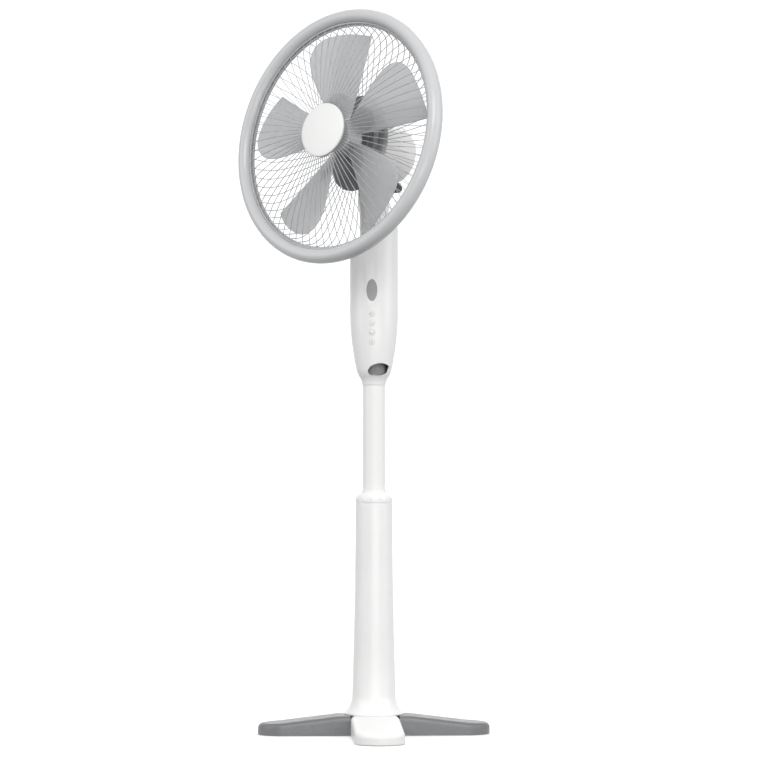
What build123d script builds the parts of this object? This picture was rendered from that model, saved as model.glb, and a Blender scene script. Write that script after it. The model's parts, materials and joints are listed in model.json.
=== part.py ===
from build123d import *
import math
import os

os.makedirs("parts", exist_ok=True)

# Pedestal fan, in millimetres. Z is up, the floor is z = 0, the pole is on the Z axis
# and the base's front bar points along -Y.

# rest pose
COLUMN_TURN = -8.0  # the pole and its control housing, turned on the base
HEAD_TURN = -42.9  # the neck and head, turned on the base
HEAD_TILT = 8.9  # the fan axis, up from level

# base
SIDE_BAR_LENGTH = 402.0
FRONT_BAR_LENGTH = 490.0
BAR_WIDTH = 84.0
BAR_BOTTOM = 1.5
BAR_TIP_TOP = 20.0
BAR_TOP = 34.0
BAR_MIDDLE = 62.0
BAR_ROUND = 9.0
PAD_R = 11.0
PAD_PLACE = 175.0

# column
FOOT_R = 51.5
SLEEVE_R = 32.2
GUIDE_R = 23.0
GUIDE_BORE = 20.0
POLE_R = 19.3
POLE_BORE = 17.3
POLE_BOTTOM = 215.0
POLE_TOP = 690.0
SLEEVE_TOP = 400.0
COLLAR_TOP = 421.0
GLAND_Z = 90.0

# control housing: straight above, drawn in by arcs below, and cut off on a slant at its top
WALL = 3.0
HOUSING_R = 42.0
HOUSING_LOW = 735.0
HOUSING_WAIST = (36.9, 666.0)
HOUSING_BENDS = ((31.2, 634.0), (24.8, 618.5), (20.3, 605.0))
HOUSING_FLOOR = 622.0
HOUSING_TOP = 864.0  # where the slanted top crosses the pole's axis
TOP_SLANT = 20.9
SEAT_Z = 846.0
WELL_R = 25.3
MOUTH = (10.0, 631.0)
MOUTH_HALVES = (18.5, 10.5)
MOUTH_TURN = 13.0
CLAMP_Z = 668.0
PLATE_Z = 802.0
NECK_Z = SEAT_Z + 1.8
NECK_R = 24.5
NECK_TOP_R = 27.0
LENS_Z = 768.0
LENS_HALVES = (9.5, 19.0)
BUTTON_R = 4.5
BUTTON_HEIGHTS = (727.0, 711.0, 695.0, 679.0)

# turning gear
GEAR_Z = 814.0
GEAR_TEETH = 42
PINION_TEETH = 12
MODULE = 1.0
GEAR_CENTRES = (GEAR_TEETH + PINION_TEETH) * MODULE / 2

# tilting head
PIVOT_Z = 945.8
PIN_R = 5.0
FAN_HEIGHT = 70.0  # fan axis above the tilt pin
RIM_AHEAD = 108.6  # middle of the grille rim ahead of the tilt pin
RIM_R = 225.0
RIM_WIDE = 24.0
RIM_DEEP = 30.0
HOOP_R = 201.8
MOTOR_R = 55.5
MOTOR_FACE = 49.0
DOME_START = -28.0
DOME_ROUND = 27.0
RIBS = 72
RIB_THICK = 1.6
BLADES = 5
BLADE_R = 183.0
BLADE_THICK = 2.2
BLADE_PHASE = 26.6
SHAFT_R = 4.0
DRIVE_PIN_AHEAD = 80.0


def flat(points):
    """A closed outline with straight sides."""
    return make_face(Polyline(*points, close=True))


def turned(points):
    """A ring or disc about Z from (radius, height) points."""
    return revolve(Plane.XZ * flat(points), Axis.Z)


def ring(inner, outer, low, high):
    return turned([(inner, low), (outer, low), (outer, high), (inner, high)])


def disc(radius, low, high):
    return Pos(0, 0, low) * extrude(Circle(radius), high - low)


def bar_x(radius, low, high):
    """A round bar along X."""
    return Pos(low, 0, 0) * Rot(0, 90, 0) * extrude(Circle(radius), high - low)


def bar_y(radius, low, high):
    """A round bar along Y."""
    return Pos(0, low, 0) * Rot(-90, 0, 0) * extrude(Circle(radius), high - low)


def block(x, y, z):
    """A box from its (low, high) pairs."""
    sizes = [pair[1] - pair[0] for pair in (x, y, z)]
    middle = [(pair[1] + pair[0]) / 2 for pair in (x, y, z)]
    return Pos(*middle) * Box(*sizes)


def around(shape, count, start=0.0):
    return [Rot(0, 0, start + 360 * i / count) * shape for i in range(count)]


def placed(place, shape):
    """A shape, or each shape of a list, moved to its place."""
    if isinstance(shape, list):
        return [place * piece for piece in shape]
    return place * shape


def column(shape):
    return placed(Rot(0, 0, COLUMN_TURN), shape)


def neck(shape):
    return placed(Rot(0, 0, HEAD_TURN), shape)


def head(shape):
    """From the head's own frame, with its origin on the tilt pin and its front along -Y."""
    return placed(Pos(0, 0, PIVOT_Z) * Rot(0, 0, HEAD_TURN) * Rot(-HEAD_TILT, 0, 0), shape)


def fan(shape):
    """From the fan's own frame, with +Z forward along the shaft from above the tilt pin."""
    return head(placed(Pos(0, 0, FAN_HEIGHT) * Rot(90, 0, 0), shape))


# ---------------------------------------------------------------- base


def floor_bar(length):
    """A bar along X, thinner towards its ends, which are round from above and at their edges."""
    half = length / 2
    shoulder = half - 40
    side = flat(
        [
            (-half, BAR_BOTTOM),
            (half, BAR_BOTTOM),
            (half, BAR_TIP_TOP),
            (shoulder, BAR_TIP_TOP + 2),
            (BAR_MIDDLE, BAR_TOP),
            (-BAR_MIDDLE, BAR_TOP),
            (-shoulder, BAR_TIP_TOP + 2),
            (-half, BAR_TIP_TOP),
        ]
    )
    body = extrude(Plane.XZ * side, BAR_WIDTH / 2, both=True)
    plan = extrude(SlotOverall(length, BAR_WIDTH), BAR_TOP + 1)
    bar = body & plan
    rims = [edge for edge in bar.edges() if abs(edge.center().Y) > 1]
    return fillet([edge for edge in rims if edge.center().Z > BAR_TIP_TOP - 6], BAR_ROUND)


def bar_holes():
    holes = [Pos(x, y, 0) * disc(2.6, 0, 60) for x in (-15, 15) for y in (-15, 15)]
    heads = [Pos(x, y, 0) * disc(5.2, 0, 8) for x in (-15, 15) for y in (-15, 15)]
    return holes + heads


def base_side_bar():
    half = BAR_WIDTH / 2 + 0.2
    lap = block((-half, half), (-60, 60), ((BAR_BOTTOM + BAR_TOP) / 2, 60))
    return floor_bar(SIDE_BAR_LENGTH) - lap - bar_holes()


def base_front_bar():
    half = BAR_WIDTH / 2 + 0.2
    lap = block((-half, half), (-60, 60), (0, (BAR_BOTTOM + BAR_TOP) / 2))
    return Rot(0, 0, 90) * (floor_bar(FRONT_BAR_LENGTH) - lap) - bar_holes()


def foot_pads():
    return around(Pos(PAD_PLACE, 0, 0) * disc(PAD_R, 0, BAR_BOTTOM), 4) + [disc(9.0, 0, BAR_BOTTOM)]


def base_screws():
    screw = disc(2.5, 5, BAR_TOP + 6) + disc(5.0, 5, 8)
    return [Pos(x, y, 0) * screw for x in (-15, 15) for y in (-15, 15)]


def column_flange():
    plate = disc(30.0, BAR_TOP, BAR_TOP + 6)
    socket = ring(GUIDE_R, GUIDE_R + 4, BAR_TOP + 6, BAR_TOP + 36)
    holes = [Pos(x, y, 0) * disc(2.5, 30, 60) for x in (-15, 15) for y in (-15, 15)]
    return plate + socket - holes


def guide_tube():
    return ring(GUIDE_BORE, GUIDE_R, BAR_TOP + 6, SLEEVE_TOP - 18)


def column_solid(inset):
    """The lower column filled in, from its flared foot up, with its skin moved in."""
    flare = ThreePointArc((FOOT_R - inset, 37), (42.2 - inset, 49), (37.6 - inset, 68))
    side = ThreePointArc(flare @ 1, (33.9 - inset, 210), (SLEEVE_R - inset, SLEEVE_TOP - 4))
    rest = Polyline(side @ 1, (0, SLEEVE_TOP - 4), (0, BAR_TOP), (FOOT_R - inset, BAR_TOP), flare @ 0)
    return revolve(Plane.XZ * make_face([flare, side, rest]), Axis.Z)


def lower_column():
    lip = ring(GUIDE_BORE, SLEEVE_R, SLEEVE_TOP - 4, SLEEVE_TOP)
    return column_solid(0) - column_solid(WALL) + lip - Pos(0, 0, GLAND_Z) * bar_y(6.0, 0, 60)


def cord_gland():
    flange = bar_y(8.5, 30, 42) - disc(37.3, -20, 20)
    return Pos(0, 0, GLAND_Z) * (bar_y(6.0, 33, 42) + flange - bar_y(3.2, 20, 60))


def guide_bush():
    sleeve = ring(19.35, GUIDE_BORE, SLEEVE_TOP - 60, SLEEVE_TOP - 18)
    return sleeve + ring(19.35, 29.0, SLEEVE_TOP - 18, SLEEVE_TOP - 4)


# ---------------------------------------------------------------- column


def lock_collar():
    low = SLEEVE_TOP + 0.3
    shoulder = ThreePointArc((SLEEVE_R, 405), (30.0, 411.5), (24.5, 416))
    neck_in = ThreePointArc((24.5, 416), (22.4, 418), (21.5, COLLAR_TOP))
    rest = Polyline(neck_in @ 1, (GUIDE_BORE, COLLAR_TOP), (GUIDE_BORE, low), (SLEEVE_R, low), shoulder @ 0)
    body = revolve(Plane.XZ * make_face([shoulder, neck_in, rest]), Axis.Z)
    grip = Pos(36.0, 0, 0) * disc(4.5, 390, 408)
    return body - around(grip, 12, 15)


def pole():
    return ring(POLE_BORE, POLE_R, POLE_BOTTOM, POLE_TOP)


def pole_plug():
    return disc(POLE_BORE, POLE_BOTTOM, POLE_BOTTOM + 12) + disc(19.95, POLE_BOTTOM - 4, POLE_BOTTOM)


def housing_r(height):
    """The housing's radius on the long arc between its waist and its straight side."""
    drop = HOUSING_R - HOUSING_WAIST[0]
    rise = HOUSING_LOW - HOUSING_WAIST[1]
    curve = (drop**2 + rise**2) / (2 * drop)
    return HOUSING_R - curve + math.sqrt(curve**2 - (HOUSING_LOW - height) ** 2)


def housing_solid(inset):
    """The housing filled in, with its skin moved in from the outer one."""
    waist_r, waist_z = HOUSING_WAIST
    arcs = [TangentArc((HOUSING_R - inset, HOUSING_LOW), (waist_r - inset, waist_z), tangent=(0, -1))]
    for radius, height in HOUSING_BENDS:
        arcs.append(TangentArc(arcs[-1] @ 1, (radius - inset, height), tangent=arcs[-1] % 1))
    end = arcs[-1] @ 1
    rest = Polyline(end, (0, end.Y), (0, 900), (HOUSING_R - inset, 900), arcs[0] @ 0)
    solid = revolve(Plane.XZ * make_face(arcs + [rest]), Axis.Z)
    drop = inset / math.cos(math.radians(TOP_SLANT))
    above = Rot(0, -TOP_SLANT, 0) * block((-90, 90), (-90, 90), (0, 120))
    return solid - Pos(0, 0, HOUSING_TOP - drop) * above


def oval_hole(place, halves, turn=0.0):
    """An oval prism through the housing's front."""
    return extrude(Plane.XZ.offset(12) * Pos(*place) * Rot(0, 0, turn) * Ellipse(*halves), 50)


def housing_shell():
    """The whole hollow housing, with a well in its slanted top for the neck."""
    outer = housing_solid(0) - disc(WELL_R, SEAT_Z, 900)
    hollow = housing_solid(WALL) - disc(60, 590, HOUSING_FLOOR) - disc(WELL_R + WALL, SEAT_Z - WALL, 900)
    holes = [Pos(0, 0, z) * bar_y(BUTTON_R + 0.3, -60, -20) for z in BUTTON_HEIGHTS]
    holes += [oval_hole((0, LENS_Z), LENS_HALVES), oval_hole(MOUTH, MOUTH_HALVES, MOUTH_TURN)]
    return outer - hollow - disc(10.6, 830, 850) - disc(POLE_R, 590, 640) - holes


def control_housing_front():
    return column(housing_shell() & block((-60, 60), (-60, 0), (600, 890)))


def control_housing_rear():
    return column((housing_shell() & block((-60, 60), (0, 60), (600, 890))) - screw_bores())


def screw_bores():
    places = [(x, z) for x in (-12, 12) for z in (CLAMP_Z + 2, PLATE_Z + 2)]
    return [Pos(x, 0, z) * bar_y(1.4, 28, 50) for x, z in places]


def housing_screws():
    """Four screws through the rear housing, two into the plate and two into the clamp."""
    upper = bar_y(1.4, 30, 42) + bar_y(3.0, 41.2, 42.8)
    lower = bar_y(1.4, 28, 37) + bar_y(3.0, 36.6, 38.0)
    screws = []
    for x in (-12, 12):
        screws += [Pos(x, 0, CLAMP_Z + 2) * lower, Pos(x, 0, PLATE_Z + 2) * upper]
    return column(screws)


def display_lens():
    skin = ring(38.6, 41.6, 700, 800)
    return column(oval_hole((0, LENS_Z), LENS_HALVES) & skin)


def button(height):
    face = housing_r(height)
    cap = bar_y(BUTTON_R, -60, 5 - face) + bar_y(BUTTON_R + 1.2, 5 - face, 6.5 - face)
    keep = disc(face + 0.6, -10, 10)
    return column(Pos(0, 0, height) * (cap & keep))


def pole_clamp():
    """The sleeve on the pole's top, with the flange that carries the housing."""
    sleeve = ring(POLE_R, 22.0, HOUSING_FLOOR, CLAMP_Z)
    return column(sleeve + ring(POLE_R, 33.8, CLAMP_Z, CLAMP_Z + 4) - screw_bores())


def circuit_board():
    board = block((-14, 14), (-27.0, -25.4), (674, 798))
    switches = [block((-3, 3), (8 - housing_r(z), -27), (z - 3, z + 3)) for z in BUTTON_HEIGHTS]
    return column(board + switches)


def board_stand():
    posts = [Pos(x, 0, z) * bar_y(2.5, -25.4, -22) for x in (-9, 9) for z in (700, 780)]
    return column(block((-14, 14), (-22, -20), (672, PLATE_Z)) + posts)


def swivel_plate():
    plate = disc(39.0, PLATE_Z, PLATE_Z + 4) - disc(13.0, 790, 820)
    plate -= Pos(0, GEAR_CENTRES, 0) * disc(4.0, 790, 820)
    return column(plate - screw_bores())


def swivel_bush():
    return ring(10.05, 13.0, PLATE_Z, PLATE_Z + 10)


def thrust_washer():
    return ring(10.6, 23.0, SEAT_Z, NECK_Z - 0.3)


def turning_motor():
    can = Pos(0, GEAR_CENTRES, 0) * disc(11.0, PLATE_Z - 22, PLATE_Z)
    return column(can - Pos(0, GEAR_CENTRES, 0) * disc(2.05, PLATE_Z - 16, PLATE_Z))


def tooth_outline(count, middle, thick):
    """One involute tooth, symmetric about the given angle in degrees."""
    pitch = MODULE * count / 2
    base = pitch * math.cos(math.radians(20))
    half = thick / pitch / 2 + math.tan(math.radians(20)) - math.radians(20)
    side = []
    for radius in (base, pitch - 0.4 * MODULE, pitch, pitch + 0.45 * MODULE, pitch + 0.9 * MODULE):
        turn = math.acos(min(1.0, base / max(radius, base)))
        side.append((max(radius, base), half - (math.tan(turn) - turn)))
    side.insert(0, (pitch - 1.3 * MODULE, side[0][1]))
    side = sorted(set(side))
    turns = [(r, math.radians(middle) - a) for r, a in side]
    turns += [(r, math.radians(middle) + a) for r, a in reversed(side)]
    return [(r * math.cos(a), r * math.sin(a)) for r, a in turns]


def gear_wheel(count, bore, phase, low, high):
    root = MODULE * (count / 2 - 1.25)
    thick = MODULE * (math.pi / 2 - 0.14)
    step = 360 / count
    teeth = [flat(tooth_outline(count, phase + step * i, thick)) for i in range(count)]
    outline = Circle(root) + teeth
    return Pos(0, 0, low) * extrude(outline - Circle(bore), high - low)


def swivel_gear():
    """Its teeth meet the pinion's on the column's +Y side."""
    step = 360 / GEAR_TEETH
    return column(gear_wheel(GEAR_TEETH, 10.0, 90 + step / 2, GEAR_Z, GEAR_Z + 6))


def turning_pinion():
    wheel = gear_wheel(PINION_TEETH, 0.5, 270, GEAR_Z, GEAR_Z + 6) + disc(3.0, PLATE_Z + 5, GEAR_Z)
    spindle = disc(2.0, PLATE_Z - 15, GEAR_Z + 6)
    return column(Pos(0, GEAR_CENTRES, 0) * (wheel + spindle))


# ---------------------------------------------------------------- neck


def swivel_neck():
    flare = ThreePointArc((NECK_R, 878), (NECK_R + 0.8, 903), (NECK_TOP_R, PIVOT_Z - 22))
    top = Polyline(flare @ 1, (NECK_TOP_R, PIVOT_Z - 18), (0, PIVOT_Z - 18))
    bottom = Polyline(top @ 1, (0, NECK_Z), (NECK_R, NECK_Z), flare @ 0)
    post = revolve(Plane.XZ * make_face([flare, top, bottom]), Axis.Z)
    lug = (bar_x(13.0, -26, 26) + block((-26, 26), (-13, 13), (-19, 0))) & disc(NECK_TOP_R, -19, 20)
    boss = bar_x(9.0, 25, 40)
    body = post + Pos(0, 0, PIVOT_Z) * (lug + boss)
    slot = block((-13.5, 13.5), (-40, 40), (-16.5, 30)) + bar_x(PIN_R, -60, 60)
    spigot = disc(10.0, PLATE_Z - 4, NECK_Z) - ring(8.6, 11, PLATE_Z - 1.7, PLATE_Z - 0.3)
    return neck(body - Pos(0, 0, PIVOT_Z) * slot + spigot)


def swivel_clip():
    return neck(ring(8.6, 12.5, PLATE_Z - 1.7, PLATE_Z - 0.3) - block((-3, 3), (0, 20), (780, 820)))


def tilt_pin():
    pin = bar_x(PIN_R, -26, 52) + bar_x(8.0, -29.5, -26) - bar_x(2.6, -31, -27.5)
    return neck(Pos(0, 0, PIVOT_Z) * pin)


def tilt_knob():
    body = bar_x(8.5, 40.4, 57) - bar_x(PIN_R + 0.05, 30, 53)
    groove = Pos(0, 0, 9.6) * bar_x(2.0, 44, 60)
    grooves = [Rot(45 * i, 0, 0) * groove for i in range(8)]
    return neck(Pos(0, 0, PIVOT_Z) * (body - grooves))


# ---------------------------------------------------------------- motor


def tilt_bracket():
    ear = bar_x(13.0, -13.2, 13.2) + block((-13.2, 13.2), (-13, 13), (0, 24))
    saddle = block((-24, 24), (-26, 28), (14.0, 24))
    motor = Pos(0, 0, FAN_HEIGHT) * bar_y(MOTOR_R, -60, 60)
    return head(ear + saddle - motor - bar_x(PIN_R + 0.05, -20, 20))


def motor_front_shell():
    corner = TangentArc((MOTOR_R, MOTOR_FACE - 7), (MOTOR_R - 7, MOTOR_FACE), tangent=(0, 1))
    inner = MOTOR_R - WALL
    front = Polyline(
        (MOTOR_R - 7, MOTOR_FACE),
        (17, MOTOR_FACE),
        (17, 68),
        (12, 68),
        (12, MOTOR_FACE - WALL),
        (inner - 4, MOTOR_FACE - WALL),
        (inner, MOTOR_FACE - 7),
        (inner, 6),
        (MOTOR_R, 6),
        (MOTOR_R, MOTOR_FACE - 7),
    )
    return fan(revolve(Plane.XZ * make_face([corner, front]), Axis.Z))


def rear_dome(inset):
    """The filled rear of the motor casing with a rounded end, its skin moved in."""
    radius, end = MOTOR_R - inset, DOME_START - DOME_ROUND + inset
    bend = TangentArc((radius, DOME_START), (MOTOR_R - DOME_ROUND, end), tangent=(0, -1))
    rest = Polyline(bend @ 1, (0, end), (0, 6), (radius, 6), bend @ 0)
    return revolve(Plane.XZ * make_face([bend, rest]), Axis.Z)


def motor_rear_shell():
    vent = block((12, 30), (-1.6, 1.6), (-90, -40))
    oval = Pos(MOTOR_R - 1.5, 0, -11) * Rot(0, 90, 0) * extrude(Ellipse(12, 7), 10)
    dents = [Rot(0, 0, turn) * oval for turn in (50, 130)]
    return fan(rear_dome(0) - rear_dome(WALL) - around(vent, 10, 18) - dents)


def front_bracket():
    openings = around(block((22, 44), (-5, 5), (30, 45)), 6)
    return fan(ring(9.0, 15.0, 29, 41) + ring(15.0, MOTOR_R - WALL, 37, 41) - openings)


def rear_bracket():
    openings = around(block((22, 44), (-5, 5), (-40, -20)), 6)
    return fan(ring(9.0, 15.0, -34, -22) + ring(15.0, MOTOR_R - WALL, -28, -24) - openings)


def stator_core():
    slot = block((29, 40), (-2.5, 2.5), (-20, 30))
    mouth = block((20, 30), (-1.2, 1.2), (-20, 30))
    return fan(ring(25.6, 46.0, -10, 20) - around(slot + mouth, 12))


def stator_windings():
    coil = turned([(28, 20), (40, 20), (40, 26), (37, 30), (31, 30), (28, 26)])
    rear = turned([(28, -10), (40, -10), (40, -16), (37, -20), (31, -20), (28, -16)])
    return fan([coil, rear])


def motor_spacers():
    front = Pos(43, 0, 0) * disc(2.9, 20, 37)
    rear = Pos(43, 0, 0) * disc(2.9, -24, -10)
    return fan(around(front, 3, 30) + around(rear, 3, 30))


def motor_bearings():
    return fan([ring(SHAFT_R + 0.03, 9.0, 31, 39), ring(SHAFT_R + 0.03, 9.0, -32, -24)])


def motor_capacitor():
    return fan(Pos(18, 30, 0) * disc(7.0, -46, -28))


def rotor_core():
    return fan(ring(SHAFT_R, 25.0, -10, 20) + ring(SHAFT_R, 9.0, -15, -10) + ring(SHAFT_R, 9.0, 20, 25))


def motor_shaft():
    return fan(disc(SHAFT_R, -38, 128) - Pos(0, 0, DRIVE_PIN_AHEAD) * bar_x(1.5, -10, 10))


# ---------------------------------------------------------------- impeller


def blade_section(radius, half_angle, pitch):
    """A thin cambered section across the blade, on the plane X = radius."""
    half = radius * math.tan(math.radians(half_angle))
    rise = half * math.tan(math.radians(pitch))
    lift = 0.16 * half
    back = ThreePointArc((-half, -rise), (0, lift), (half, rise))
    thick = BLADE_THICK
    front = ThreePointArc((half, rise + thick), (0, lift + thick), (-half, thick - rise))
    section = make_face([back, Line(back @ 1, front @ 0), front, Line(front @ 1, back @ 0)])
    return Plane((radius, 0, 0), x_dir=(0, 1, 0), z_dir=(1, 0, 0)) * section


def blade():
    sections = [blade_section(20, 34, 36), blade_section(100, 25, 20), blade_section(192, 25, 13)]
    body = loft(sections, ruled=False)
    turns = [math.radians(turn) for turn in (-20, -7, 6)]
    tip, mid, end = [(BLADE_R * math.cos(turn), BLADE_R * math.sin(turn)) for turn in turns]
    arc = ThreePointArc(tip, mid, end)
    edge = Spline(end, (160, 50), (120, 53), (70, 32), (22, 9), tangents=[(-0.1, 1), (-1, -0.4)])
    root = Line((22, 9), (22, -8))
    lead = Line((22, -8), tip)
    return body & Pos(0, 0, -40) * extrude(make_face([arc, edge, root, lead]), 80)


def impeller():
    hub = turned([(SHAFT_R, 76), (29, 76), (29, 108), (25, 113), (SHAFT_R, 113)])
    blades = around(Pos(0, 0, 94) * blade(), BLADES, BLADE_PHASE)
    return fan(hub + blades - Pos(0, 0, DRIVE_PIN_AHEAD) * bar_x(1.5, -13, 13))


def drive_pin():
    return fan(Pos(0, 0, DRIVE_PIN_AHEAD) * bar_x(1.5, -13, 13))


def impeller_nut():
    return fan(turned([(SHAFT_R, 113), (15, 113), (15, 126), (11, 132), (0, 132), (0, 128), (SHAFT_R, 128)]))


# ---------------------------------------------------------------- grilles


def grille_rib(low, high):
    """A thin radial rib on the +X side between two chains of (radius, height) points."""
    outline = Polyline(*low, *high[::-1], close=True)
    return extrude(Plane.XZ * make_face(outline), RIB_THICK / 2, both=True)


def front_grille():
    low = [(46, 145.5), (90, 140.5), (130, 134.0), (165, 125.0), (188, 115.5), (199.5, 109.4)]
    high = [(46, 148.0), (90, 143.0), (130, 136.6), (165, 127.8), (188, 118.8), (199.5, 112.6)]
    rib = grille_rib(low, high)
    hoop = ring(198.5, HOOP_R, RIM_AHEAD + 0.2, RIM_AHEAD + 4.5)
    hub = ring(40.0, 47.0, 145.0, 148.2)
    return fan(hoop + hub + around(rib, RIBS))


def rear_grille():
    low = [(62, 50.0), (120, 53.0), (165, 60.0), (186, 72.0), (194, 86.0), (198.5, 104.0)]
    high = [(62, 52.6), (120, 55.8), (165, 63.2), (183.6, 74.0), (191.2, 87.0), (196.0, 104.6)]
    rib = grille_rib(low, high + [(199.5, 108.0)])
    hoop = ring(195.5, HOOP_R, RIM_AHEAD - 4.5, RIM_AHEAD - 0.2)
    hub = ring(17.1, 64.0, 49.0, 52.4)
    return fan(hoop + hub + around(rib, RIBS, 180 / RIBS))


def rim_half(front):
    middle = RIM_R - RIM_WIDE / 2
    outer = Ellipse(RIM_WIDE / 2, RIM_DEEP / 2)
    inner = Ellipse(RIM_WIDE / 2 - 2.5, RIM_DEEP / 2 - 2.5)
    side = 1 if front else -1
    keep = Pos(0, side * 20) * Rectangle(60, 40)
    wall = Pos(-50 + HOOP_R - middle, 0) * Rectangle(100, 60)
    section = ((outer - inner) & keep) - wall
    return fan(revolve(Plane.XZ * Pos(middle, RIM_AHEAD) * section, Axis.Z))


def rim_screws():
    screw = Pos(RIM_R - RIM_WIDE / 2, 0, RIM_AHEAD) * (disc(1.6, -12.3, 12.3) + disc(3.2, -10.5, -6))
    return fan(around(screw, 4, 45))


def badge_cap():
    return fan(turned([(0, 148.2), (47, 148.2), (47, 149.4), (44, 150.8), (30, 152.2), (0, 153.0)]))


def badge_clips():
    return fan(around(Pos(43, 0, 0) * disc(2.0, 141, 145.0), 4, 30))


def clamp_plate():
    """The oval plate that the nut presses on the rear grille's hub, with two air slots."""
    oval = Pos(0, 0, 54.2) * extrude(SlotOverall(170, 108, rotation=90), 3)
    slots = [Pos(x, 16, 50) * extrude(SlotOverall(58, 15, rotation=90), 10) for x in (-39, 39)]
    return fan(oval + disc(50, 52.4, 54.2) - disc(17.1, 50, 60) - slots)


def grille_nut():
    body = ring(17.1, 30.0, 57.2, 64.6)
    grip = Pos(32.5, 0, 0) * disc(4.0, 50, 70)
    return fan(body - around(grip, 10))


NODES = {
    "base_side_bar": base_side_bar,
    "base_front_bar": base_front_bar,
    "foot_pads": foot_pads,
    "base_screws": base_screws,
    "column_flange": column_flange,
    "guide_tube": guide_tube,
    "lower_column": lower_column,
    "cord_gland": cord_gland,
    "guide_bush": guide_bush,
    "lock_collar": lock_collar,
    "pole": pole,
    "pole_plug": pole_plug,
    "pole_clamp": pole_clamp,
    "control_housing_front": control_housing_front,
    "control_housing_rear": control_housing_rear,
    "housing_screws": housing_screws,
    "display_lens": display_lens,
    "circuit_board": circuit_board,
    "board_stand": board_stand,
    "swivel_plate": swivel_plate,
    "swivel_bush": swivel_bush,
    "thrust_washer": thrust_washer,
    "turning_motor": turning_motor,
    "turning_pinion": turning_pinion,
    "swivel_gear": swivel_gear,
    "swivel_neck": swivel_neck,
    "swivel_clip": swivel_clip,
    "tilt_pin": tilt_pin,
    "tilt_knob": tilt_knob,
    "tilt_bracket": tilt_bracket,
    "motor_front_shell": motor_front_shell,
    "motor_rear_shell": motor_rear_shell,
    "front_bracket": front_bracket,
    "rear_bracket": rear_bracket,
    "stator_core": stator_core,
    "stator_windings": stator_windings,
    "motor_spacers": motor_spacers,
    "motor_bearings": motor_bearings,
    "motor_capacitor": motor_capacitor,
    "rotor_core": rotor_core,
    "motor_shaft": motor_shaft,
    "impeller": impeller,
    "drive_pin": drive_pin,
    "impeller_nut": impeller_nut,
    "rear_grille": rear_grille,
    "clamp_plate": clamp_plate,
    "grille_nut": grille_nut,
    "rear_rim": lambda: rim_half(False),
    "front_rim": lambda: rim_half(True),
    "rim_screws": rim_screws,
    "front_grille": front_grille,
    "badge_cap": badge_cap,
    "badge_clips": badge_clips,
    "power_button": lambda: button(BUTTON_HEIGHTS[0]),
    "speed_button": lambda: button(BUTTON_HEIGHTS[1]),
    "turning_button": lambda: button(BUTTON_HEIGHTS[2]),
    "timer_button": lambda: button(BUTTON_HEIGHTS[3]),
}


def write(name, shape):
    """One file per sub-part, with its solids side by side."""
    solids = []
    for piece in shape if isinstance(shape, (list, ShapeList)) else [shape]:
        solids += piece.solids()
    export_step(Compound(children=solids) if len(solids) > 1 else solids[0], f"parts/{name}.step")


for name, make in NODES.items():
    write(name, make())
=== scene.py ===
import json
import math

import bmesh
import bpy
import numpy as np
from mathutils import Matrix, Vector


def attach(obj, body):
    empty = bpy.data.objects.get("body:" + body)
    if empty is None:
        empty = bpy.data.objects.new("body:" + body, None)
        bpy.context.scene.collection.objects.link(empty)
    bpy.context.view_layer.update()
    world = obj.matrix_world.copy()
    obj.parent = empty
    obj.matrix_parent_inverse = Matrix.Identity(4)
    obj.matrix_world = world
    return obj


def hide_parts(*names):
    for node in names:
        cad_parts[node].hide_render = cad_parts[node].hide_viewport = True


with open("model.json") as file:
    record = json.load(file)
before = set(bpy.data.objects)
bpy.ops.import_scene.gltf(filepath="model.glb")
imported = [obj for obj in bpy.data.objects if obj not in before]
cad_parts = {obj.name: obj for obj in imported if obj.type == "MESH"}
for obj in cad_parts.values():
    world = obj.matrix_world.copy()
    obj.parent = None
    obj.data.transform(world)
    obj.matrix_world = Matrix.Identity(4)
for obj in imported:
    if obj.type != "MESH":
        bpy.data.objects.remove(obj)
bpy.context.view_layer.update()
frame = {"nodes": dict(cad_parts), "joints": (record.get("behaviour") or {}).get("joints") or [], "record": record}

NODES = frame["nodes"]
JOINTS = {joint["name"]: joint for joint in frame["joints"]}
SLOT_OF = {row["node"]: row["material_slot"] for row in frame["record"]["subparts"]}

MM = 0.001

# ---------------------------------------------------------------- places read from the frame


def fan_frame():
    """The fan's own frame: Z forward along its shaft, Y up, with its origin beside the tilt pin."""
    spin, tilt = JOINTS["impeller_spin"], JOINTS["head_tilt"]
    forward = Vector(spin["axis"]).normalized()
    side = Vector(tilt["axis"]).normalized()
    up = forward.cross(side)
    turn = Matrix((side, up, forward)).transposed().to_4x4()
    return Matrix.Translation(Vector(spin["pos_m"])) @ turn


FAN = fan_frame()


# ---------------------------------------------------------------- materials


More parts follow.
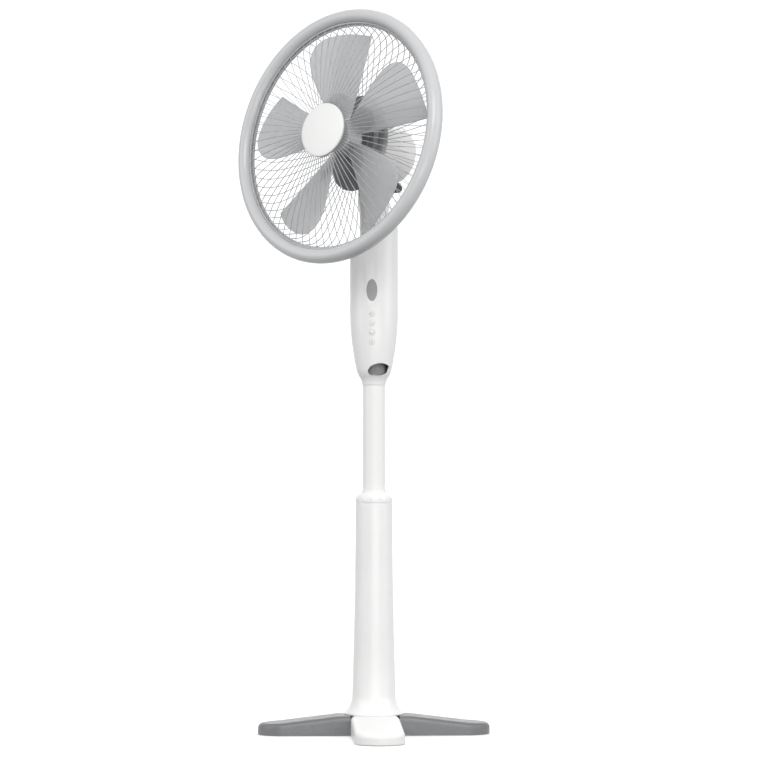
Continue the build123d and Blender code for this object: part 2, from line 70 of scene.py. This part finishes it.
class Finish:
    """A Principled material that is built up one layer at a time from the object's own coordinates."""

    def __init__(self, name, colour, roughness, metallic=0.0):
        self.material = bpy.data.materials.new(name)
        self.material.use_nodes = True
        self.nodes = self.material.node_tree.nodes
        self.links = self.material.node_tree.links
        self.shader = self.nodes["Principled BSDF"]
        self.shader.inputs["Base Color"].default_value = (*colour, 1.0)
        self.shader.inputs["Roughness"].default_value = roughness
        self.shader.inputs["Metallic"].default_value = metallic
        self.place = self.nodes.new("ShaderNodeTexCoord").outputs["Object"]
        self.height = None

    def noise(self, scale, detail=3.0, stretch=(1, 1, 1)):
        """Noise of a scale in cycles per metre, stretched along the axes."""
        mapping = self.nodes.new("ShaderNodeMapping")
        mapping.inputs["Scale"].default_value = stretch
        noise = self.nodes.new("ShaderNodeTexNoise")
        noise.inputs["Scale"].default_value = scale
        noise.inputs["Detail"].default_value = detail
        self.links.new(self.place, mapping.inputs["Vector"])
        self.links.new(mapping.outputs["Vector"], noise.inputs["Vector"])
        return noise.outputs["Fac"]

    def spread(self, value, low, high):
        """A 0.3 to 0.7 noise value spread over a range."""
        spread = self.nodes.new("ShaderNodeMapRange")
        spread.inputs["From Min"].default_value = 0.3
        spread.inputs["From Max"].default_value = 0.7
        spread.inputs["To Min"].default_value = low
        spread.inputs["To Max"].default_value = high
        self.links.new(value, spread.inputs["Value"])
        return spread.outputs["Result"]

    def mottle(self, first, second, scale, detail=4.0, stretch=(1, 1, 1)):
        """Two colours mixed by noise."""
        mix = self.nodes.new("ShaderNodeMix")
        mix.data_type = "RGBA"
        mix.inputs[6].default_value = (*first, 1.0)
        mix.inputs[7].default_value = (*second, 1.0)
        self.links.new(self.spread(self.noise(scale, detail, stretch), 0.0, 1.0), mix.inputs[0])
        self.links.new(mix.outputs[2], self.shader.inputs["Base Color"])
        return self

    def gloss(self, low, high, scale, stretch=(1, 1, 1)):
        """Roughness that varies with noise."""
        rough = self.spread(self.noise(scale, 5.0, stretch), low, high)
        self.links.new(rough, self.shader.inputs["Roughness"])
        return self

    def bump(self, scale, depth, strength=0.4, detail=2.0, stretch=(1, 1, 1)):
        """Noise relief of a depth in metres, on top of any relief before it."""
        bump = self.nodes.new("ShaderNodeBump")
        bump.inputs["Strength"].default_value = strength
        bump.inputs["Distance"].default_value = depth
        self.links.new(self.noise(scale, detail, stretch), bump.inputs["Height"])
        if self.height:
            self.links.new(self.height, bump.inputs["Normal"])
        self.height = bump.outputs["Normal"]
        self.links.new(self.height, self.shader.inputs["Normal"])
        return self

    def set(self, **values):
        """Constant values on the shader's own sockets, such as coat_weight=0.2."""
        for name, value in values.items():
            self.shader.inputs[name.replace("_", " ").title().replace("Ior", "IOR")].default_value = value
        return self


def white_plastic():
    finish = Finish("white_plastic", (0.80, 0.80, 0.79), 0.34)
    finish.mottle((0.79, 0.79, 0.785), (0.83, 0.83, 0.825), 9.0)
    finish.gloss(0.28, 0.40, 26.0).bump(2600.0, 0.00006, 0.35).bump(60.0, 0.0002, 0.05)
    return finish.set(coat_weight=0.15, coat_roughness=0.18).material


def rim_plastic():
    finish = Finish("rim_plastic", (0.54, 0.55, 0.56), 0.32)
    finish.mottle((0.54, 0.55, 0.56), (0.55, 0.56, 0.57), 14.0)
    finish.gloss(0.30, 0.34, 30.0).bump(2400.0, 0.00003, 0.2)
    return finish.set(coat_weight=0.25, coat_roughness=0.15).material


def white_wire():
    finish = Finish("white_wire", (0.42, 0.425, 0.43), 0.34)
    finish.mottle((0.405, 0.41, 0.415), (0.435, 0.44, 0.445), 40.0)
    finish.gloss(0.2, 0.36, 90.0).bump(900.0, 0.0001, 0.25)
    return finish.set(coat_weight=0.2, coat_roughness=0.15).material


def white_paint():
    finish = Finish("white_paint", (0.82, 0.82, 0.81), 0.26)
    finish.mottle((0.82, 0.82, 0.812), (0.828, 0.828, 0.82), 5.0, 2.0)
    finish.gloss(0.38, 0.42, 18.0).bump(1100.0, 0.00002, 0.1)
    return finish.set(coat_weight=0.1, coat_roughness=0.35).material


def grey_paint():
    finish = Finish("grey_paint", (0.17, 0.173, 0.178), 0.4, 0.25)
    finish.mottle((0.155, 0.158, 0.163), (0.19, 0.193, 0.198), 700.0, 2.0)
    finish.gloss(0.33, 0.47, 60.0).bump(900.0, 0.00012, 0.25)
    return finish.material


def black_rubber():
    finish = Finish("black_rubber", (0.025, 0.025, 0.026), 0.7)
    finish.mottle((0.02, 0.02, 0.021), (0.04, 0.04, 0.041), 300.0)
    finish.gloss(0.6, 0.82, 120.0).bump(1500.0, 0.0002, 0.5)
    return finish.material


def dark_plastic():
    finish = Finish("dark_plastic", (0.035, 0.036, 0.038), 0.42)
    finish.mottle((0.03, 0.031, 0.033), (0.048, 0.049, 0.051), 120.0)
    finish.gloss(0.35, 0.52, 80.0).bump(2200.0, 0.0001, 0.5)
    return finish.material


def grey_plastic():
    finish = Finish("grey_plastic", (0.2, 0.205, 0.21), 0.38)
    finish.mottle((0.18, 0.185, 0.19), (0.225, 0.23, 0.235), 90.0)
    finish.gloss(0.3, 0.46, 60.0).bump(2000.0, 0.00008, 0.4)
    return finish.material


def dark_grey_plastic():
    finish = Finish("dark_grey_plastic", (0.19, 0.193, 0.198), 0.42)
    finish.mottle((0.175, 0.178, 0.183), (0.205, 0.208, 0.213), 90.0)
    finish.gloss(0.34, 0.5, 60.0).bump(2000.0, 0.00008, 0.4)
    return finish.material


def grey_clear_plastic():
    finish = Finish("grey_clear_plastic", (0.52, 0.53, 0.545), 0.22)
    finish.mottle((0.505, 0.515, 0.53), (0.54, 0.55, 0.565), 16.0)
    finish.gloss(0.16, 0.28, 24.0).bump(70.0, 0.0003, 0.06)
    return finish.set(alpha=0.78, coat_weight=0.3, coat_roughness=0.1).material


# Darker, opaque grey for the blade-root pads: partly the thicker plastic at the roots, partly painted shade around
# the hub.
def root_pad_plastic_and_shade():
    finish = Finish("root_pad_plastic_and_shade", (0.36, 0.368, 0.38), 0.26)
    finish.mottle((0.345, 0.353, 0.365), (0.375, 0.383, 0.395), 30.0)
    finish.gloss(0.2, 0.32, 24.0).bump(70.0, 0.0003, 0.06)
    return finish.set(coat_weight=0.2, coat_roughness=0.12).material


def dark_window():
    finish = Finish("dark_window", (0.33, 0.335, 0.34), 0.12)
    finish.mottle((0.32, 0.325, 0.33), (0.345, 0.35, 0.355), 80.0)
    finish.gloss(0.08, 0.16, 50.0)
    return finish.set(coat_weight=0.6, coat_roughness=0.05).material


def zinc_steel():
    finish = Finish("zinc_steel", (0.55, 0.56, 0.57), 0.3, 1.0)
    finish.mottle((0.5, 0.51, 0.52), (0.6, 0.61, 0.62), 150.0)
    finish.gloss(0.22, 0.42, 260.0, (1, 1, 0.05)).bump(1200.0, 0.00005, 0.3, 3.0, (1, 1, 0.05))
    return finish.material


def dark_steel():
    finish = Finish("dark_steel", (0.14, 0.14, 0.15), 0.45, 1.0)
    finish.mottle((0.11, 0.11, 0.12), (0.17, 0.17, 0.18), 200.0)
    finish.gloss(0.38, 0.55, 300.0).bump(1600.0, 0.0001, 0.4)
    return finish.material


def cast_aluminium():
    finish = Finish("cast_aluminium", (0.6, 0.6, 0.61), 0.48, 1.0)
    finish.mottle((0.55, 0.55, 0.56), (0.65, 0.65, 0.66), 90.0)
    finish.gloss(0.4, 0.6, 200.0).bump(900.0, 0.0003, 0.5)
    return finish.material


def copper():
    finish = Finish("copper", (0.55, 0.2, 0.07), 0.3, 0.9)
    finish.mottle((0.48, 0.16, 0.05), (0.62, 0.25, 0.1), 500.0, 3.0, (1, 1, 0.3))
    finish.gloss(0.22, 0.42, 400.0).bump(1400.0, 0.0003, 0.6, 2.0, (1, 1, 0.3))
    return finish.material


def bronze():
    finish = Finish("bronze", (0.45, 0.28, 0.12), 0.45, 1.0)
    finish.mottle((0.4, 0.24, 0.1), (0.5, 0.32, 0.15), 300.0)
    finish.gloss(0.38, 0.55, 300.0).bump(1800.0, 0.0001, 0.5)
    return finish.material


def green_board():
    finish = Finish("green_board", (0.02, 0.12, 0.05), 0.35)
    finish.mottle((0.015, 0.10, 0.04), (0.03, 0.16, 0.07), 400.0, 2.0)
    finish.gloss(0.28, 0.45, 120.0).bump(700.0, 0.0001, 0.4)
    return finish.material


MAKERS = [white_plastic, rim_plastic, white_wire, white_paint, grey_paint, black_rubber, dark_plastic]
MAKERS += [grey_plastic, dark_grey_plastic, grey_clear_plastic, root_pad_plastic_and_shade, dark_window]
MAKERS += [zinc_steel, dark_steel, cast_aluminium, copper, bronze, green_board]
MATERIALS = {make.__name__: make() for make in MAKERS}


def paint(piece, slot):
    """One material over the whole piece."""
    piece.data.materials.clear()
    piece.data.materials.append(MATERIALS[slot])


for node, piece in NODES.items():
    paint(piece, SLOT_OF[node])
paint(NODES["pole_clamp"], "dark_grey_plastic")  # a lighter grey, where the housing's opening shows it; this dark grey there is partly the clamp's own colour, partly painted shade inside the opening

# ---------------------------------------------------------------- mesh helpers


def new_piece(name, part, slot, body, stands_for=()):
    """A smooth mesh piece from (vertices, faces), which rides on a body and may stand for CAD nodes."""
    vertices, faces = part
    mesh = bpy.data.meshes.new(name)
    mesh.from_pydata([tuple(v) for v in vertices], [], faces)
    skin = bmesh.new()
    skin.from_mesh(mesh)
    bmesh.ops.remove_doubles(skin, verts=skin.verts, dist=1e-7)
    bmesh.ops.dissolve_degenerate(skin, edges=skin.edges, dist=1e-8)
    bmesh.ops.recalc_face_normals(skin, faces=skin.faces)
    skin.to_mesh(mesh)
    skin.free()
    mesh.shade_smooth()
    piece = bpy.data.objects.new(name, mesh)
    bpy.context.scene.collection.objects.link(piece)
    paint(piece, slot)
    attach(piece, body)
    if stands_for:
        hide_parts(*stands_for)
    return piece


def smooth_path(points, steps):
    """A Catmull-Rom curve through points."""
    points = [np.array(p, float) for p in points]
    points = [2 * points[0] - points[1]] + points + [2 * points[-1] - points[-2]]
    path = []
    for a, b, c, d in zip(points, points[1:], points[2:], points[3:]):
        for step in range(steps):
            t = step / steps
            square = (2 * a - 5 * b + 4 * c - d) * t**2
            path.append(0.5 * (2 * b + (c - a) * t + square + (3 * b - a - 3 * c + d) * t**3))
    return path + [points[-2]]


def rod(path, wide, tall, sides=8):
    """An oval rod along a path, wide across the shaft's axis and tall along it."""
    path = [Vector(p) for p in path]
    count = len(path)
    vertices, faces = [], []
    for i, point in enumerate(path):
        tangent = (path[min(i + 1, count - 1)] - path[max(i - 1, 0)]).normalized()
        across = tangent.cross(Vector((0, 0, 1))).normalized()
        normal = across.cross(tangent)
        for k in range(sides):
            turn = 2 * math.pi * k / sides
            vertices.append(point + wide / 2 * math.cos(turn) * across + tall / 2 * math.sin(turn) * normal)
    for i in range(count - 1):
        for k in range(sides):
            n = (k + 1) % sides
            faces.append((i * sides + k, i * sides + n, (i + 1) * sides + n, (i + 1) * sides + k))
    faces.append(tuple(reversed(range(sides))))
    faces.append(tuple((count - 1) * sides + k for k in range(sides)))
    return vertices, faces


def turned(profile, count=180):
    """A ring turned from a closed profile of (radius, forward) points, or a disc where it meets the axis."""
    vertices, faces = [], []
    many = len(profile)
    for i in range(count):
        turn = 2 * math.pi * i / count
        vertices += [(r * math.cos(turn), r * math.sin(turn), z) for r, z in profile]
    for i in range(count):
        j = (i + 1) % count
        for k in range(many):
            n = (k + 1) % many
            faces.append((i * many + k, j * many + k, j * many + n, i * many + n))
    return vertices, faces


def rounded(low, high, bottom, top, edge, steps=4):
    """The closed profile of a ring with rounded corners."""
    corners = [
        (high - edge, bottom + edge, -90),
        (high - edge, top - edge, 0),
        (low + edge, top - edge, 90),
        (low + edge, bottom + edge, 180),
    ]
    profile = []
    for r, z, start in corners:
        for step in range(steps + 1):
            turn = math.radians(start + 90 * step / steps)
            profile.append((r + edge * math.cos(turn), z + edge * math.sin(turn)))
    return profile


def join(parts):
    """Several (vertices, faces) as one."""
    vertices, faces = [], []
    for more, their in parts:
        start = len(vertices)
        vertices += list(more)
        faces += [tuple(start + i for i in face) for face in their]
    return vertices, faces


def in_fan(part):
    """A (vertices, faces) pair in millimetres in the fan's frame, moved to the row's frame."""
    vertices, faces = part
    return [FAN @ (Vector(v) * MM) for v in vertices], faces


# ---------------------------------------------------------------- grilles, in millimetres

WIRES = 72
WIRE_WIDE = 1.1
WIRE_TALL = 1.8


def cage(side, start):
    """Radial wires along a side path, all round."""
    path = smooth_path(side, 4)
    parts = []
    for i in range(WIRES):
        turn = 2 * math.pi * (i + start) / WIRES
        line = [(r * math.cos(turn), r * math.sin(turn), z) for r, z in path]
        parts.append(rod(line, WIRE_WIDE, WIRE_TALL))
    return join(parts)


def front_cage():
    side = [(46, 146.7), (90, 141.7), (130, 135.2), (165, 126.3), (188, 117.1), (199.5, 111.0)]
    hub = turned(rounded(40.0, 47.0, 145.0, 148.2, 1.2))
    hoop = turned(rounded(198.5, 201.8, 108.8, 113.1, 1.2))
    new_piece("front_cage", in_fan(join([cage(side, 0), hub, hoop])), "white_wire", "head", ["front_grille"])


def rear_cage():
    side = [(62, 51.3), (120, 54.4), (165, 61.6), (184.8, 73.0), (192.6, 86.5), (197.4, 105.0)]
    hub = turned(rounded(17.2, 64.0, 49.0, 52.3, 1.2))
    hoop = turned(rounded(195.5, 201.8, 104.1, 108.4, 1.2))
    new_piece("rear_cage", in_fan(join([cage(side, 0.5), hub, hoop])), "white_wire", "head", ["rear_grille"])


def badge():
    """The plain disc at the grille's centre, slightly domed, with a rolled edge."""
    top = [(47.0 * i / 12, 153.0 - 1.9 * (i / 12) ** 2) for i in range(12)]
    edge = [(46.0, 150.9), (46.7, 150.5), (47.0, 149.9), (47.0, 148.9), (46.6, 148.4)]
    back = [(46.0, 148.25), (0.0, 148.25)]
    new_piece("badge", in_fan(turned(top + edge + back)), "white_plastic", "head", ["badge_cap"])


# ---------------------------------------------------------------- lower column, in millimetres

COLUMN_WALL = 3.0


def arc_through(start, middle, end, steps):
    """Points along the arc through three points."""
    (ax, ay), (bx, by), (cx, cy) = start, middle, end
    cross = 2 * (ax * (by - cy) + bx * (cy - ay) + cx * (ay - by))
    squares = [x * x + y * y for x, y in (start, middle, end)]
    x = (squares[0] * (by - cy) + squares[1] * (cy - ay) + squares[2] * (ay - by)) / cross
    y = (squares[0] * (cx - bx) + squares[1] * (ax - cx) + squares[2] * (bx - ax)) / cross
    radius = math.hypot(ax - x, ay - y)
    first, last = math.atan2(ay - y, ax - x), math.atan2(cy - y, cx - x)
    sweep = (last - first + math.pi) % (2 * math.pi) - math.pi
    turns = [first + sweep * i / steps for i in range(steps + 1)]
    return [(x + radius * math.cos(turn), y + radius * math.sin(turn)) for turn in turns]


def column():
    """The tapered sleeve with its flared foot, as a clean turned shell with a rounded lip."""
    flare = arc_through((51.5, 37.0), (42.2, 49.0), (37.6, 68.0), 12)
    side = arc_through((37.6, 68.0), (33.9, 210.0), (32.2, 396.0), 16)
    lip = [(32.2, 399.0), (32.0, 399.7), (31.4, 400.0), (20.0, 400.0), (20.0, 396.0), (29.2, 396.0)]
    inside = [(r - COLUMN_WALL, z) for r, z in reversed(flare[:-1] + side[:-1])]
    vertices, faces = turned([(51.5, 34.0)] + flare + side[1:] + lip + inside + [(48.5, 34.0)])
    shell = [Vector(v) * MM for v in vertices], faces
    new_piece("column_shell", shell, "white_plastic", "base", ["lower_column"])


# ---------------------------------------------------------------- impeller, in millimetres

BLADES = 5
BLADE_PHASE = 26.6
BLADE_MID = 94.0
HUB_R = 29.0
TIP_R = 183.0
HUB_OVERLAP = 4.0
EDGE_REACH = 1.2
EDGE_THICK = 0.05
ROOT_THICK = 1.6
ROOT_REACH = 14.0
PAD_R = 79.0
PAD_SHARE = 0.8
PAD_PROUD = 1.7
PAD_STEPS = 18
ACROSS = 22
OUTWARD = 40


def blade_edges(radius):
    """The angles in degrees of a blade's straight edge and of its rounded edge at a radius."""
    run, start = (150.0, -54.6), (22.0, -8.0)
    a = run[0] ** 2 + run[1] ** 2
    b = start[0] * run[0] + start[1] * run[1]
    c = start[0] ** 2 + start[1] ** 2 - radius**2
    share = (-b + math.sqrt(b * b - a * c)) / a
    straight = math.degrees(math.atan2(start[1] + share * run[1], start[0] + share * run[0]))
    radii = [22, 50, 77, 105, 131, 150, 162, 170, 176, 180, 182.2, 183]
    turns = [22.0, 24.2, 24.6, 24.4, 23.6, 21.8, 19.6, 17.2, 14.4, 11.4, 8.2, 5.0]
    return straight, float(np.interp(radius, radii, turns))


def blade_height(radius, turn):
    """How far the blade's middle surface lies ahead of the impeller's middle."""
    y = radius * math.sin(math.radians(turn))
    half = 3.0 + 0.466 * radius
    slope = 1 / (0.9 + 0.0186 * radius)
    return slope * y + 0.16 * half * (1 - (y / half) ** 2) + 1.1


def closed_skin(front, back, wide):
    """Two grids of points, wide points to a row, as one skin that is closed round its border."""
    lower = len(front)
    rows = lower // wide - 1
    across = wide - 1
    faces = []
    for i in range(rows):
        for k in range(across):
            a, b, c, d = i * wide + k, (i + 1) * wide + k, (i + 1) * wide + k + 1, i * wide + k + 1
            faces += [(d, c, b, a), (lower + a, lower + b, lower + c, lower + d)]
    border = list(range(across)) + [i * wide + across for i in range(rows)]
    border += [rows * wide + k for k in range(across, 0, -1)]
    border += [i * wide for i in range(rows, 0, -1)]
    for a, b in zip(border, border[1:] + border[:1]):
        faces.append((a, lower + a, lower + b, b))
    return front + back, faces


def blade(phase):
    """One blade, thinner towards its edges and thicker where it meets the hub."""
    front, back = [], []
    inner = HUB_R - HUB_OVERLAP
    for i in range(OUTWARD + 1):
        radius = inner + (TIP_R - inner) * (1 - (1 - i / OUTWARD) ** 1.5)
        straight, curved = blade_edges(radius)
        for k in range(ACROSS + 1):
            part = 0.5 - 0.5 * math.cos(math.pi * k / ACROSS)
            turn = straight + (curved - straight) * part
            rim = min(part, 1 - part) * math.radians(curved - straight) * radius
            rim = min(rim, TIP_R - radius)
            thick = math.sqrt(min(1.0, rim / EDGE_REACH)) + EDGE_THICK
            thick += ROOT_THICK * max(0.0, 1 - (radius - HUB_R) / ROOT_REACH) ** 2
            angle = math.radians(turn + phase)
            height = BLADE_MID + blade_height(radius, turn)
            x, y = radius * math.cos(angle), radius * math.sin(angle)
            front.append((x, y, height + thick))
            back.append((x, y, height - thick))
    return closed_skin(front, back, ACROSS + 1)


def blade_root(phase):
    """The pad at a blade's root, with a rounded outer end, proud of the blade's front and back."""
    front, back = [], []
    inner = HUB_R - HUB_OVERLAP / 2
    for i in range(PAD_STEPS + 1):
        radius = inner + (PAD_R - inner) * (1 - (1 - i / PAD_STEPS) ** 2)
        straight, curved = blade_edges(radius)
        middle = (straight + curved) / 2
        outward = (radius - HUB_R) / (PAD_R - HUB_R)
        half = PAD_SHARE / 2 * (curved - straight) * math.sqrt(max(0.0, 1 - outward**4))
        for k in range(PAD_STEPS + 1):
            turn = middle + half * (2 * k / PAD_STEPS - 1)
            angle = math.radians(turn + phase)
            height = BLADE_MID + blade_height(radius, turn)
            x, y = radius * math.cos(angle), radius * math.sin(angle)
            front.append((x, y, height + PAD_PROUD))
            back.append((x, y, height - PAD_PROUD))
    return closed_skin(front, back, PAD_STEPS + 1)


def impeller():
    """Five blades on a round hub, with their thicker roots."""
    roots = [blade_root(BLADE_PHASE + 360 * i / BLADES) for i in range(BLADES)]
    pads = new_piece("blade_roots", in_fan(join(roots)), "grey_clear_plastic", "rotor")
    # The pads are painted a darker grey: partly thicker plastic, partly painted shade near the hub.
    paint(pads, "root_pad_plastic_and_shade")
    hub = rounded(4.1, HUB_R, 76.2, 112.8, 3.4, 6)
    parts = [blade(BLADE_PHASE + 360 * i / BLADES) for i in range(BLADES)] + [turned(hub)]
    new_piece("blades", in_fan(join(parts)), "grey_clear_plastic", "rotor", ["impeller"])


# ---------------------------------------------------------------- plain marks on the buttons, in millimetres


def arc(radius, start, stop, steps=14):
    turns = [math.radians(start + (stop - start) * i / steps) for i in range(steps + 1)]
    return [(radius * math.cos(turn), radius * math.sin(turn)) for turn in turns]


MARKS = {
    "power_button": [arc(2.0, 125, 415), [(0.0, 0.6), (0.0, 2.6)]],
    "speed_button": [[(-1.8, -1.8), (-1.8, -0.4)], [(0.0, -1.8), (0.0, 0.7)], [(1.8, -1.8), (1.8, 1.8)]],
    "turning_button": [
        arc(2.1, 200, 340),
        [(-2.9, -0.2), (-1.9, -0.7), (-1.2, -0.1)],
        [(2.9, -0.2), (1.9, -0.7), (1.2, -0.1)],
    ],
    "timer_button": [arc(2.1, 90, 450), [(0.0, 1.2), (0.0, 0.0), (0.9, 0.0)]],
}
MARK_WIDE = 0.5
MARK_PROUD = 0.06
OUTWARD_WAY = -Vector(JOINTS["power_button_press"]["axis"])
RIGHT_WAY = Vector((-OUTWARD_WAY.y, OUTWARD_WAY.x, 0))


def mark(path, radius, height):
    """A thin raised line on a button's curved face, along a path of (right, up) points."""
    vertices, faces = [], []
    for i, (x, y) in enumerate(path):
        ahead, behind = path[min(i + 1, len(path) - 1)], path[max(i - 1, 0)]
        run, rise = ahead[0] - behind[0], ahead[1] - behind[1]
        length = math.hypot(run, rise)
        side = (-rise / length * MARK_WIDE / 2, run / length * MARK_WIDE / 2)
        for way, proud in ((1, -0.05), (1, MARK_PROUD), (-1, MARK_PROUD), (-1, -0.05)):
            turn = (x + way * side[0]) / radius
            out = (radius + proud) * (math.cos(turn) * OUTWARD_WAY + math.sin(turn) * RIGHT_WAY)
            vertices.append((out + Vector((0, 0, height + y + way * side[1]))) * MM)
    for i in range(len(path) - 1):
        for k in range(4):
            n = (k + 1) % 4
            faces.append((i * 4 + k, i * 4 + n, i * 4 + 4 + n, i * 4 + 4 + k))
    last = len(vertices) - 4
    return vertices, faces + [(3, 2, 1, 0), (last, last + 1, last + 2, last + 3)]


def button_marks():
    for button, lines in MARKS.items():
        points = [vertex.co / MM for vertex in NODES[button].data.vertices]
        radius = max(math.hypot(point.x, point.y) for point in points)
        front = [point.z for point in points if math.hypot(point.x, point.y) > radius - 2]
        height = (min(front) + max(front)) / 2
        parts = [mark(line, radius, height) for line in lines]
        new_piece(button.replace("_button", "_mark"), join(parts), "grey_plastic", button)


front_cage()
rear_cage()
badge()
column()
impeller()
button_marks()

# ---------------------------------------------------------------- softened edges on the CAD parts


def soften(node, width=0.6, segments=3):
    """A small rounded edge, which leaves the CAD mesh itself alone."""
    weld = NODES[node].modifiers.new("weld", "WELD")
    weld.merge_threshold = 0.00001
    bevel = NODES[node].modifiers.new("edges", "BEVEL")
    bevel.width = width * MM
    bevel.segments = segments
    bevel.limit_method = "ANGLE"
    bevel.angle_limit = math.radians(35)
    bevel.harden_normals = True


SOFTENED = {
    "control_housing_front": 0.5,
    "control_housing_rear": 0.5,
    "motor_front_shell": 0.6,
    "motor_rear_shell": 0.6,
    "clamp_plate": 0.8,
    "grille_nut": 0.8,
    "tilt_bracket": 1.2,
    "swivel_neck": 1.2,
    "tilt_knob": 0.7,
    "tilt_pin": 0.5,
    "lock_collar": 0.6,
    "pole_clamp": 0.4,
    "foot_pads": 0.8,
    "cord_gland": 0.5,
    "power_button": 0.3,
    "speed_button": 0.3,
    "turning_button": 0.3,
    "timer_button": 0.3,
}
for node, width in SOFTENED.items():
    soften(node, width)

# ---------------------------------------------------------------- light, floor and camera

CAMERA_AZIMUTH = math.radians(-3.0)
CAMERA_AWAY = 5.0
CAMERA_HEIGHT = 0.42
AIM_HEIGHT = 0.607
AIM_RIGHT = 0.0174
LENS = 134.7
FLOOR_SIDES = 96
FADE_BOTTOM = -0.5  # the sine of the angle from the horizon where the world's fade starts
FADE_TOP = 0.35
WORLD_BELOW = 0.12
WORLD_ABOVE = 0.8


def area_light(name, place, aim, size, power):
    light = bpy.data.lights.new(name, "AREA")
    light.shape = "RECTANGLE"
    light.size, light.size_y = size
    light.energy = power
    lamp = bpy.data.objects.new(name, light)
    lamp.location = place
    lamp.rotation_euler = (Vector(aim) - Vector(place)).to_track_quat("-Z", "Y").to_euler()
    bpy.context.scene.collection.objects.link(lamp)


def floor():
    """A pale floor that curves up far away into a backdrop all round."""
    path = [(0.05, 0)] + smooth_path([(5, 0), (7, 0), (9, 0.4), (10.5, 1.6), (11, 3.6), (11.2, 9)], 8)
    count = len(path)
    turns = [2 * math.pi * i / FLOOR_SIDES for i in range(FLOOR_SIDES)]
    vertices = [(r * math.cos(turn), r * math.sin(turn), z) for turn in turns for r, z in path]
    faces = [tuple(i * count for i in range(FLOOR_SIDES))]
    for i in range(FLOOR_SIDES):
        a, b = i * count, (i + 1) % FLOOR_SIDES * count
        faces += [(a + k, a + k + 1, b + k + 1, b + k) for k in range(count - 1)]
    mesh = bpy.data.meshes.new("floor")
    mesh.from_pydata(vertices, [], faces)
    mesh.shade_smooth()
    piece = bpy.data.objects.new("floor", mesh)
    bpy.context.scene.collection.objects.link(piece)
    finish = Finish("floor", (0.92, 0.92, 0.92), 0.7)
    finish.mottle((0.91, 0.91, 0.91), (0.93, 0.93, 0.93), 2.0)
    finish.set(emission_color=(1.0, 1.0, 1.0, 1.0), emission_strength=0.16)
    mesh.materials.append(finish.material)
    piece.visible_diffuse = False
    piece.visible_shadow = False


def camera():
    away = Vector((math.sin(CAMERA_AZIMUTH), -math.cos(CAMERA_AZIMUTH), 0))
    right = Vector((-away.y, away.x, 0))
    aim = right * AIM_RIGHT + Vector((0, 0, AIM_HEIGHT))
    data = bpy.data.cameras.new("camera")
    data.lens = LENS
    data.sensor_width = 36.0
    eye = bpy.data.objects.new("camera", data)
    eye.location = away * CAMERA_AWAY + right * AIM_RIGHT + Vector((0, 0, CAMERA_HEIGHT))
    eye.rotation_euler = (aim - eye.location).to_track_quat("-Z", "Y").to_euler()
    bpy.context.scene.collection.objects.link(eye)
    bpy.context.scene.camera = eye


def studio():
    """A white room, darker below the object, with a large lamp above it and a low one in front."""
    world = bpy.data.worlds.new("studio")
    world.use_nodes = True
    nodes, links = world.node_tree.nodes, world.node_tree.links
    parts = nodes.new("ShaderNodeSeparateXYZ")
    links.new(nodes.new("ShaderNodeTexCoord").outputs["Generated"], parts.inputs["Vector"])
    fade = nodes.new("ShaderNodeMapRange")
    fade.inputs["From Min"].default_value = FADE_BOTTOM
    fade.inputs["From Max"].default_value = FADE_TOP
    fade.inputs["To Min"].default_value = WORLD_BELOW
    fade.inputs["To Max"].default_value = WORLD_ABOVE
    links.new(parts.outputs["Z"], fade.inputs["Value"])
    nodes["Background"].inputs["Color"].default_value = (1.0, 1.0, 1.0, 1.0)
    links.new(fade.outputs["Result"], nodes["Background"].inputs["Strength"])
    bpy.context.scene.world = world
    bpy.context.scene.view_settings.view_transform = "Standard"
    area_light("front", (0.3, -3.2, 2.6), (0, 0, 0.6), (1.8, 1.2), 42)
    area_light("left", (-3.0, -1.0, 1.6), (0, 0, 0.6), (2.0, 2.4), 24)
    area_light("right", (3.0, -1.4, 1.6), (0, 0, 0.6), (2.0, 2.4), 28)
    area_light("low", (0.4, -3.0, 0.4), (0, 0, 0.1), (2.4, 0.5), 18)
    area_light("rear", (0.5, 3.2, 2.4), (0, 0, 0.7), (2.4, 1.8), 22)
    area_light("backdrop", (0, 6.0, 5.0), (0, 10.5, 1.5), (9.0, 3.0), 230)


floor()
camera()
studio()
